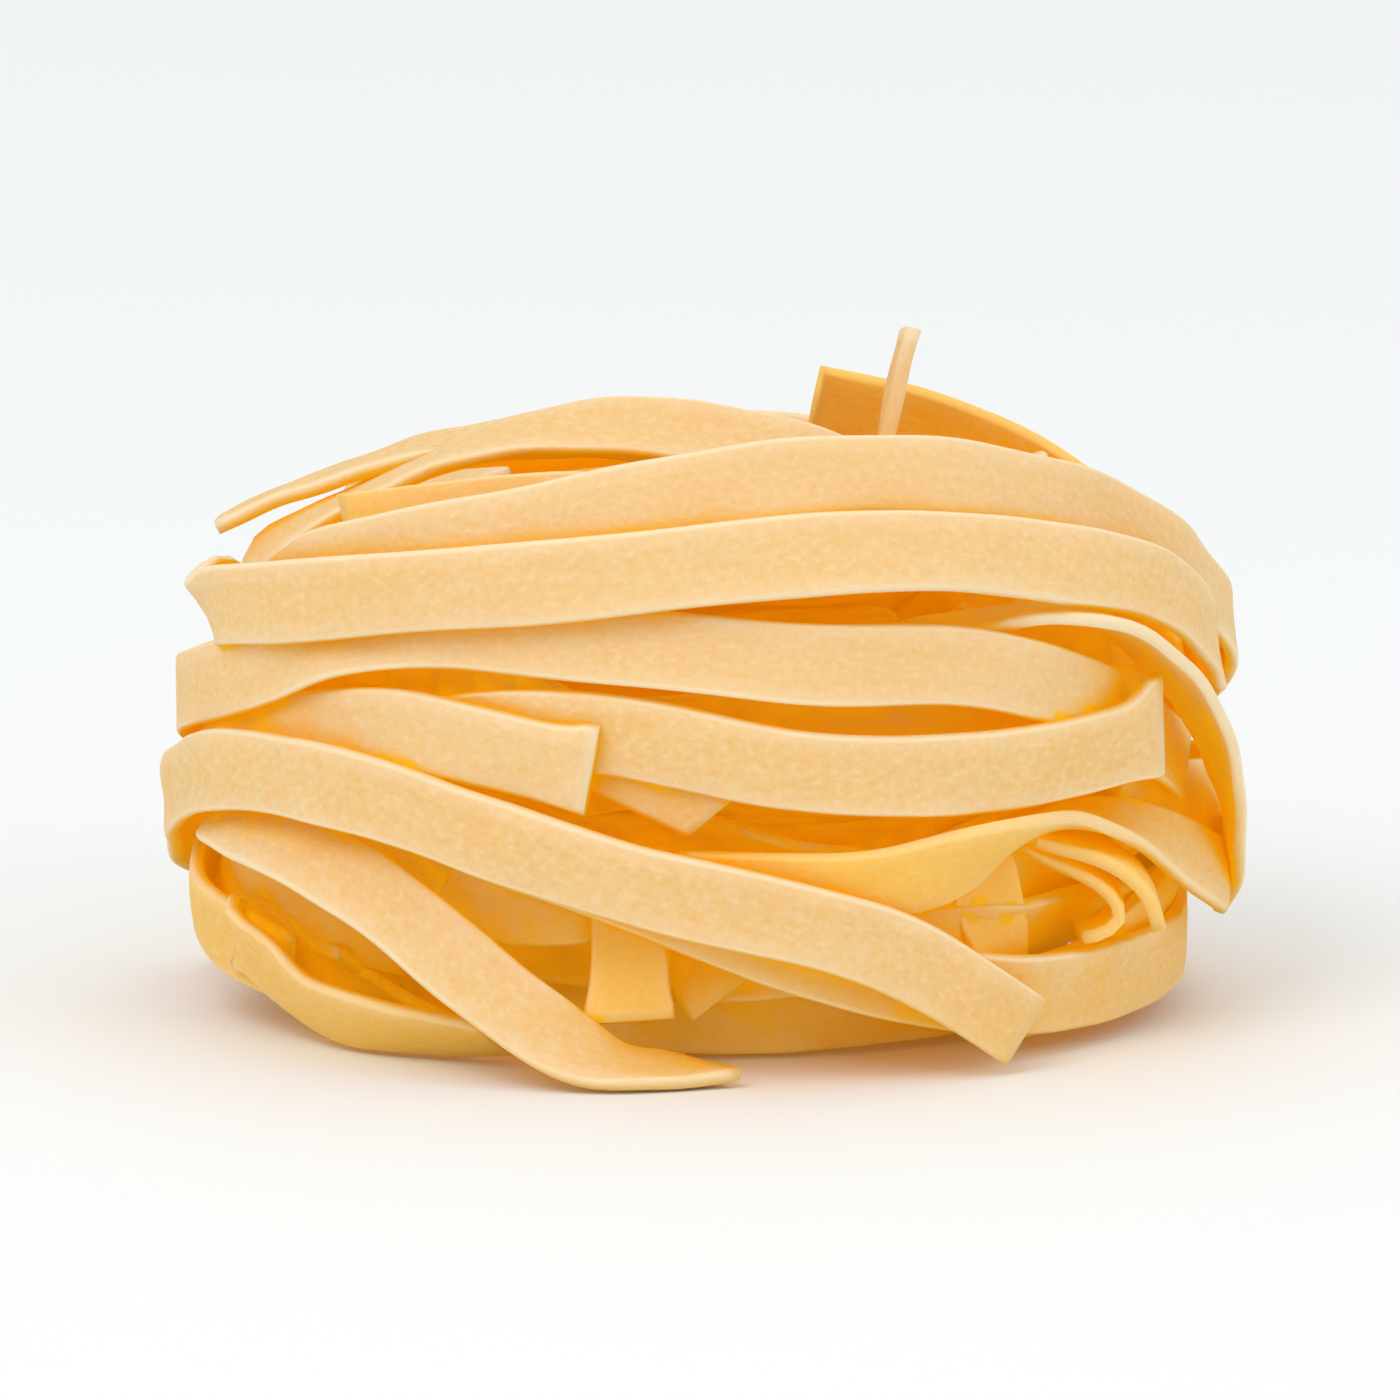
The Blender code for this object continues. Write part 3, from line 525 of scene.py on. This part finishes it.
def push_apart(ribbons, rounds):
    """Move the ribbons apart, round by round, where one is nearer to another than a thickness."""
    counts = [len(ribbon[2]) for ribbon in ribbons]
    ends = np.cumsum(counts)
    spans = list(zip(ends - counts, ends))
    centre, face, width = (np.vstack([ribbon[k] for ribbon in ribbons]) for k in (2, 3, 4))
    owner = np.repeat(np.arange(len(ribbons)), counts)
    ease = np.repeat([EASE[ribbon[1]] for ribbon in ribbons], counts)
    total, lanes = len(centre), len(LANES)
    first_centre = centre.copy()
    station = np.repeat(np.arange(total), lanes)
    side_of = np.zeros((total, len(ribbons)))
    for turn in range(rounds):
        points = (centre[:, None] + width[:, None] * LANES[None, :, None]).reshape(-1, 3)
        if turn % 4 == 0:
            first, second = near_pairs(points, owner[station], NEAR)
            here, there = station[first], station[second]
        gap = points[first] - points[second]
        normal = face[there]
        level = np.einsum("ij,ij->i", gap, normal)
        close = np.linalg.norm(gap - level[:, None] * normal, axis=1) < BESIDE
        if turn % 4 == 0:
            note_sides(side_of, spans, here[close], owner[there[close]], level[close])
        side = side_of[here, owner[there]]
        lack = CLEARANCE - level * side
        touch = close & (lack > 0) & (lack < MOST_LACK)
        share = ease[here] / (ease[here] + ease[there])
        push = (lack * side * share)[:, None] * normal
        back = (lack * side * (1 - share))[:, None] * normal
        moved, weight = gathered_pushes(len(points), first[touch], second[touch],
                                        push[touch], back[touch])
        touched = (weight > 0).reshape(total, lanes)
        shift, tilt = shift_and_tilt(moved.reshape(total, lanes, 3), touched, face)
        for a, b in spans:
            centre[a:b], face[a:b], width[a:b] = moved_ribbon(
                centre[a:b], face[a:b], width[a:b], first_centre[a:b], shift[a:b], tilt[a:b])
    return [(ribbon[0], ribbon[1], centre[a:b], face[a:b], width[a:b])
            for ribbon, (a, b) in zip(ribbons, spans)]


# ---------------------------------------------------------------- meshes

# Half of a ribbon's section: (share of half width, share of half thickness)
SECTION = [(-0.93, 0.88), (-0.84, 1.0), (-0.45, 1.0), (0, 1.0), (0.45, 1.0), (0.84, 1.0),
           (0.93, 0.88), (1.0, 0.35)]
SECTION = SECTION + [(-w, -h) for w, h in SECTION]
RIM_START, RIM_FADE = 0.80, 0.13              # where the pale cut edge begins, in half widths
END_FADE = 1.8                                # millimetres over which an end's cut dies away
MOST_CUT = 0.25                               # slope of a cut that CUTS doesn't list


def mesh_object(name, points, faces):
    mesh = bpy.data.meshes.new(name)
    mesh.from_pydata(points.tolist(), [], faces)
    mesh.polygons.foreach_set("use_smooth", np.ones(len(mesh.polygons), bool))
    mesh.update()
    made = bpy.data.objects.new(name, mesh)
    bpy.context.scene.collection.objects.link(made)
    return made


class Builder:
    """Collects ribbons into one mesh with the values that the material reads."""

    def __init__(self):
        self.points, self.faces = [], []
        self.rim, self.gold, self.tint, self.grain = [], [], [], []
        self.count = 0          # points so far

    def ribbon(self, name, kind, number, centre, face, width):
        chance = np.random.default_rng(1000 + number)
        length = len(centre)
        along = np.arange(length) * STEP
        ahead = np.cross(face, width)
        start_cut, end_cut = CUTS.get(name, chance.uniform(-MOST_CUT, MOST_CUT, 2))
        wave = chance.uniform(0, 6.3, 6)
        pitch = chance.uniform(9, 24, 6)
        half = RIBBON_WIDTH / 2 * chance.uniform(0.97, 1.03)
        half = half * (1 + 0.018 * np.sin(along / pitch[0] * 6.3 + wave[0]))
        thick = RIBBON_THICKNESS / 2 * chance.uniform(0.92, 1.04)
        cup = 0.16 * np.sin(along / pitch[1] * 3.1 + wave[1]) + chance.uniform(-0.1, 0.1)
        lift = 0.10 * np.sin(along / pitch[2] * 6.3 + wave[2])
        near_start = np.exp(-(along / END_FADE) ** 2)
        near_end = np.exp(-((along[-1] - along) / END_FADE) ** 2)
        slide = near_end * end_cut - near_start * start_cut
        flare = FLARES.get(name, (0, 0))
        rows = []
        for w, h in SECTION:
            ripple = 0.05 * np.sin(along / pitch[3] * 12 + wave[3] + 2 * w)
            level = h * thick + cup * (0.4 - w * w) + ripple + lift
            at = centre + width * (w * half)[:, None] + face * level[:, None]
            at = at + ahead * (w * half * slide)[:, None]
            at = at + width * (w * flare[0 if w > 0 else 1] * near_end)[:, None]
            rows.append(at)
        points = np.stack(rows, axis=1)
        points[..., 2] = np.maximum(points[..., 2], 0.02)
        size = len(SECTION)
        base = self.count
        self.points.append(points.reshape(-1, 3) - MIDDLE)
        for i in range(length - 1):
            for a in range(size):
                b = (a + 1) % size
                at = base + i * size
                self.faces.append((at + a, at + b, at + size + b, at + size + a))
        self.faces.append(tuple(base + a for a in reversed(range(size))))
        tail = base + (length - 1) * size
        self.faces.append(tuple(tail + a for a in range(size)))
        across = np.array([w for w, _ in SECTION])
        rim = np.clip((np.abs(across) - RIM_START) / RIM_FADE, 0, 1)
        rim = np.maximum(rim[None, :], np.maximum(near_start > 0.9, near_end > 0.9)[:, None] * 0.8)
        self.rim.append(rim.reshape(-1))
        # painted shade and glow: the golden share that the material mixes in along the ribbon
        gold = PAINTED_GOLD.get(name, FOLDED_PAINTED_GOLD if kind == "folded" else (0, 0))
        self.gold.append(np.repeat(np.linspace(*gold, length), size))
        grain = np.empty((length, size, 3))
        grain[..., 0] = along[:, None]
        grain[..., 1] = across * half[:, None]
        grain[..., 2] = number * 7.3 + np.sign([h for _, h in SECTION])
        self.grain.append(grain.reshape(-1, 3))
        self.tint.append(np.full(length * size, chance.uniform(0, 1)))
        self.count += length * size

    def make(self, name):
        made = mesh_object(name, np.vstack(self.points) * MM, self.faces)
        mesh = made.data
        for label, kind, values in (("rim", "FLOAT", self.rim), ("tint", "FLOAT", self.tint),
                                    ("gold", "FLOAT", self.gold),
                                    ("grain", "FLOAT_VECTOR", self.grain)):
            layer = mesh.attributes.new(label, kind, "POINT")
            key = "vector" if kind == "FLOAT_VECTOR" else "value"
            layer.data.foreach_set(key, np.concatenate(values).astype(np.float32).ravel())
        mesh.attributes.new("open", "FLOAT", "POINT")
        return made


def core_object(name):
    """A smaller ring under the ribbons, which stops the eye seeing through the nest."""
    bearings, around = 72, 28
    vertices, faces = [], []
    for i in range(bearings):
        bearing = np.full(around, 2 * math.pi * i / bearings)
        angle = 2 * math.pi * np.arange(around) / around
        distance = section_reach(angle, bearing) * CORE_SHARE - CORE_CLEFT * cleft(bearing, angle)
        distance = distance * (1 + 0.05 * np.sin(9 * angle + 5 * bearing))
        vertices.extend(ring_place(bearing, angle, distance) - MIDDLE)
    for i in range(bearings):
        here, there = i * around, (i + 1) % bearings * around
        for k in range(around):
            n = (k + 1) % around
            faces.append((here + k, there + k, there + n, here + n))
    made = mesh_object(name, np.array(vertices) * MM, faces)
    for label in ("rim", "tint", "gold", "open"):
        made.data.attributes.new(label, "FLOAT", "POINT")
    return made


OPEN_REACH, OPEN_LIFT = 0.022, 0.00012        # metres: how far a ray looks, and where it starts
HIT_SHARE, TABLE_SHARE = 0.3, 0.5             # most that a ray counts on pasta, and on the table


def mesh_rows(values, label, count):
    rows = np.empty(count * 3)
    values.foreach_get(label, rows)
    return rows.reshape(-1, 3)


def pasta_tree(pieces):
    vertices, polygons = [], []
    for piece in pieces:
        mesh, base = piece.data, len(vertices)
        vertices.extend(mesh_rows(mesh.vertices, "co", len(mesh.vertices)).tolist())
        polygons.extend([tuple(base + v for v in polygon.vertices) for polygon in mesh.polygons])
    return BVHTree.FromPolygons(vertices, polygons)


def ray_fan(rays):
    """Directions over a level surface, denser towards straight up."""
    turns = (np.arange(rays) + 0.5) / rays
    flat = np.sqrt(turns)
    spin = np.arange(rays) * 2.399963         # the golden angle
    return np.stack([flat * np.cos(spin), flat * np.sin(spin), np.sqrt(1 - turns)], axis=1)


def free_share(tree, origin, ways):
    free = 0.0
    for way in ways.tolist():
        distance = tree.ray_cast(origin, way, OPEN_REACH)[3]
        if distance is not None:
            free += HIT_SHARE * distance / OPEN_REACH
        elif origin.z + way[2] * OPEN_REACH < 0:
            free += TABLE_SHARE
        else:
            free += 1.0
    return free / len(ways)


# The material paints shade and glow from this share, more where it is low
def measure_openness(pieces, rays):
    """Store at each point the share of directions over it that are free of pasta and table."""
    tree = pasta_tree(pieces)
    fan = ray_fan(rays)
    for piece in pieces:
        mesh = piece.data
        count = len(mesh.vertices)
        at = mesh_rows(mesh.vertices, "co", count)
        normal = mesh_rows(mesh.vertex_normals, "vector", count)
        helper = np.where(np.abs(normal[:, 2:]) < 0.9, [[0, 0, 1.0]], [[1.0, 0, 0]])
        side = unit(np.cross(helper, normal))
        other = np.cross(normal, side)
        values = np.zeros(count)
        for i in range(count):
            origin = Vector(at[i] + normal[i] * OPEN_LIFT)
            ways = fan[:, :1] * side[i] + fan[:, 1:2] * other[i] + fan[:, 2:] * normal[i]
            values[i] = free_share(tree, origin, ways)
        mesh.attributes["open"].data.foreach_set("value", values.astype(np.float32))


# ---------------------------------------------------------------- materials

def node(tree, kind, **values):
    made = tree.nodes.new(kind)
    for key, value in values.items():
        setattr(made, key, value)
    return made


def mixed(tree, factor, first, second):
    mix = node(tree, "ShaderNodeMix", data_type="RGBA")
    for socket, value in ((mix.inputs[0], factor), (mix.inputs[6], first), (mix.inputs[7], second)):
        if isinstance(value, bpy.types.NodeSocket):
            tree.links.new(value, socket)
        else:
            socket.default_value = value
    return mix.outputs[2]


def ranged(tree, value, low, high, to_low, to_high):
    made = node(tree, "ShaderNodeMapRange")
    tree.links.new(value, made.inputs[0])
    for i, number in enumerate((low, high, to_low, to_high)):
        made.inputs[i + 1].default_value = number
    return made.outputs[0]


def combined(tree, operation, first, second):
    made = node(tree, "ShaderNodeMath", operation=operation)
    tree.links.new(first, made.inputs[0])
    tree.links.new(second, made.inputs[1])
    return made.outputs[0]


def attribute(tree, name, output="Fac"):
    return node(tree, "ShaderNodeAttribute", attribute_name=name).outputs[output]


def noise(tree, vector, scale, detail=2.0, stretch=(1, 1, 1)):
    mapping = node(tree, "ShaderNodeMapping")
    tree.links.new(vector, mapping.inputs["Vector"])
    mapping.inputs["Scale"].default_value = stretch
    made = node(tree, "ShaderNodeTexNoise")
    tree.links.new(mapping.outputs[0], made.inputs["Vector"])
    made.inputs["Scale"].default_value = scale
    made.inputs["Detail"].default_value = detail
    return made.outputs["Fac"]


def face_colour(tree, grain, fine):
    """Mottled cream dough: clouds, blotches, streaks along the ribbon, flour specks and pits."""
    blotch = noise(tree, grain, 0.75, 2.0, (0.8, 1.0, 1.0))
    cloud = noise(tree, grain, 0.15, 2.0, (0.6, 1.0, 1.0))
    streak = noise(tree, grain, 0.9, 2.0, (0.15, 1.0, 1.0))
    warm = ranged(tree, cloud, 0.35, 0.65, 0.0, 0.50)
    colour = mixed(tree, warm, (0.810, 0.570, 0.262, 1), (0.820, 0.515, 0.170, 1))
    patch = ranged(tree, blotch, 0.42, 0.68, 0.0, 0.40)
    colour = mixed(tree, patch, colour, (0.845, 0.53, 0.19, 1))
    lines = ranged(tree, streak, 0.38, 0.7, 0.0, 0.18)
    colour = mixed(tree, lines, colour, (0.90, 0.63, 0.34, 1))
    speck = ranged(tree, fine, 0.52, 0.72, 0.0, 0.50)
    colour = mixed(tree, speck, colour, (0.905, 0.68, 0.42, 1))
    pits = ranged(tree, fine, 0.32, 0.47, 0.32, 0.0)
    colour = mixed(tree, pits, colour, (0.84, 0.40, 0.08, 1))
    pale = ranged(tree, attribute(tree, "tint"), 0.0, 1.0, 0.0, 0.24)
    return mixed(tree, pale, colour, (0.87, 0.62, 0.37, 1))


def bloom_and_highlight_rim(tree, colour, openness):
    """Paler along the cut edges: partly floury bloom, partly a painted highlight, which is stronger
    in the open.
    """
    share = combined(tree, "MULTIPLY", attribute(tree, "rim"),
                     ranged(tree, openness, 0.05, 0.6, 0.1, 0.8))
    return mixed(tree, share, colour, (0.93, 0.77, 0.53, 1))


def painted_crevice_shade(tree, colour, openness):
    """Painted shade: golden, then orange, then brown orange, the less open a place is."""
    golden = combined(tree, "MAXIMUM", ranged(tree, openness, 0.36, 0.84, 1.0, 0.0),
                      attribute(tree, "gold"))
    colour = mixed(tree, golden, colour, (0.90, 0.505, 0.010, 1))
    deep = ranged(tree, openness, 0.06, 0.38, 1.0, 0.0)
    colour = mixed(tree, deep, colour, (0.92, 0.50, 0.0, 1))
    deepest = ranged(tree, openness, 0.0, 0.10, 0.45, 0.0)
    return mixed(tree, deepest, colour, (0.78, 0.33, 0.0, 1))


def crowded_glow(tree, openness):
    """Light goes round many times between ribbons that crowd, and comes out orange.

    The renders follow only a few of those turns, so a little orange glow stands in for the rest.
    """
    through = ranged(tree, attribute(tree, "gold"), 0.0, 1.0, 0.0, 0.45)
    glow = combined(tree, "MAXIMUM", ranged(tree, openness, 0.02, 0.50, 1.0, 0.0), through)
    glow = combined(tree, "MULTIPLY", glow, ranged(tree, openness, 0.0, 0.12, 0.65, 1.0))
    return mixed(tree, glow, (0.0, 0.0, 0.0, 1), (0.20, 0.110, 0.0, 1))


def pasta_material(name):
    """Dry egg dough: mottled cream faces, cut edges paler from floury bloom and a painted
    highlight, painted golden orange shade and a painted orange glow where ribbons crowd.
    """
    material = bpy.data.materials.new(name)
    material.use_nodes = True
    tree = material.node_tree
    shader = tree.nodes["Principled BSDF"]
    grain = attribute(tree, "grain", "Vector")
    openness = attribute(tree, "open")
    fine = noise(tree, grain, 2.3, 4.0, (0.75, 1.0, 1.0))
    colour = bloom_and_highlight_rim(tree, face_colour(tree, grain, fine), openness)
    colour = painted_crevice_shade(tree, colour, openness)
    tree.links.new(colour, shader.inputs["Base Color"])
    tree.links.new(crowded_glow(tree, openness), shader.inputs["Emission Color"])
    shader.inputs["Emission Strength"].default_value = 1.0
    shader.inputs["Roughness"].default_value = 0.75
    shader.inputs["Specular IOR Level"].default_value = 0.15
    shader.inputs["Subsurface Weight"].default_value = 0.3
    shader.inputs["Subsurface Radius"].default_value = (1.0, 0.6, 0.3)
    shader.inputs["Subsurface Scale"].default_value = 0.0009
    bump = node(tree, "ShaderNodeBump")
    bump.inputs["Strength"].default_value = 0.5
    bump.inputs["Distance"].default_value = 0.00015
    tree.links.new(fine, bump.inputs["Height"])
    tree.links.new(bump.outputs[0], shader.inputs["Normal"])
    return material


def plain_material(name, colour, roughness):
    material = bpy.data.materials.new(name)
    material.use_nodes = True
    shader = material.node_tree.nodes["Principled BSDF"]
    shader.inputs["Base Color"].default_value = colour
    shader.inputs["Roughness"].default_value = roughness
    return material


# ---------------------------------------------------------------- stage

def area_light(name, place_at, aim, size, power, colour):
    light = bpy.data.lights.new(name, "AREA")
    light.shape = "DISK"
    light.size = size
    light.energy = power
    light.color = colour
    made = bpy.data.objects.new(name, light)
    made.location = place_at
    made.rotation_euler = (Vector(aim) - Vector(place_at)).to_track_quat("-Z", "Y").to_euler()
    bpy.context.scene.collection.objects.link(made)


def pale_floor():
    mesh = bpy.data.meshes.new("floor")
    side = 3.0
    mesh.from_pydata([(-side, -side, 0), (side, -side, 0), (side, side, 0), (-side, side, 0)],
                     [], [(0, 1, 2, 3)])
    floor = bpy.data.objects.new("floor", mesh)
    bpy.context.scene.collection.objects.link(floor)
    mesh.materials.append(plain_material("floor", (0.90, 0.937, 0.957, 1), 0.7))


def studio_world():
    """Soft light from all round, dimmer from low down."""
    world = bpy.data.worlds.new("studio")
    world.use_nodes = True
    tree = world.node_tree
    way = node(tree, "ShaderNodeTexCoord")
    parts = node(tree, "ShaderNodeSeparateXYZ")
    tree.links.new(way.outputs["Generated"], parts.inputs[0])
    sky = mixed(tree, parts.outputs["Z"], (0.60, 0.59, 0.575, 1), (1.00, 0.99, 0.975, 1))
    tree.links.new(sky, tree.nodes["Background"].inputs["Color"])
    tree.nodes["Background"].inputs["Strength"].default_value = 1.0
    bpy.context.scene.world = world


def stage():
    pale_floor()
    studio_world()
    middle, white = (0, 0, 0.02), (1.0, 0.98, 0.95)
    area_light("key", (-0.55, -0.75, 0.95), middle, 0.8, 4.6, white)
    area_light("fill", (0.8, -0.6, 0.5), middle, 0.8, 1.5, white)


def camera():
    data = bpy.data.cameras.new("camera")
    made = bpy.data.objects.new("camera", data)
    aim = Vector((-MIDDLE[0] * MM, 0, 0.0195))
    distance, turn, lift = 1.45, math.radians(-1.7), math.radians(10.5)
    view_width, sensor_width = 0.090, 36.0
    level = distance * math.cos(lift)
    made.location = aim + Vector((level * math.sin(turn), -level * math.cos(turn),
                                  distance * math.sin(lift)))
    made.rotation_euler = (aim - made.location).to_track_quat("-Z", "Y").to_euler()
    data.sensor_width = sensor_width
    data.lens = sensor_width * distance / view_width
    bpy.context.scene.collection.objects.link(made)
    bpy.context.scene.camera = made


# ---------------------------------------------------------------- the nest

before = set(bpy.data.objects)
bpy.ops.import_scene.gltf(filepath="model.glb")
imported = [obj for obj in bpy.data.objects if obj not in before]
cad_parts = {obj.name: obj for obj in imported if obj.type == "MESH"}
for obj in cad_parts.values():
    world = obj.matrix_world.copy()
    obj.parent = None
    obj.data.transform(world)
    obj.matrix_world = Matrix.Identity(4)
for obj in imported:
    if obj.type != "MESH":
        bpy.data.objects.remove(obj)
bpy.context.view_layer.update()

push_rounds, open_rays = ((36, 14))
ribbons = push_apart(all_ribbons(), push_rounds)
groups = {"laid": "outer_ribbons", "folded": "folded_ribbons", "wound": "wound_ribbons",
          "inner": "inner_ribbons", "crossing": "inner_ribbons"}
builders = {}
for number, (name, kind, centre, face, width) in enumerate(ribbons):
    builder = builders.setdefault(groups[kind], Builder())
    builder.ribbon(name, kind, number, centre, face, width)
pieces = [builder.make(name) for name, builder in builders.items()]
pieces.append(core_object("core"))
measure_openness(pieces, open_rays)

pasta = pasta_material("pasta")
for piece in pieces:
    piece.data.materials.append(pasta)
    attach(piece, "root")
    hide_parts("pasta_nest")

stage()
camera()
bpy.context.scene.view_settings.view_transform = "Standard"
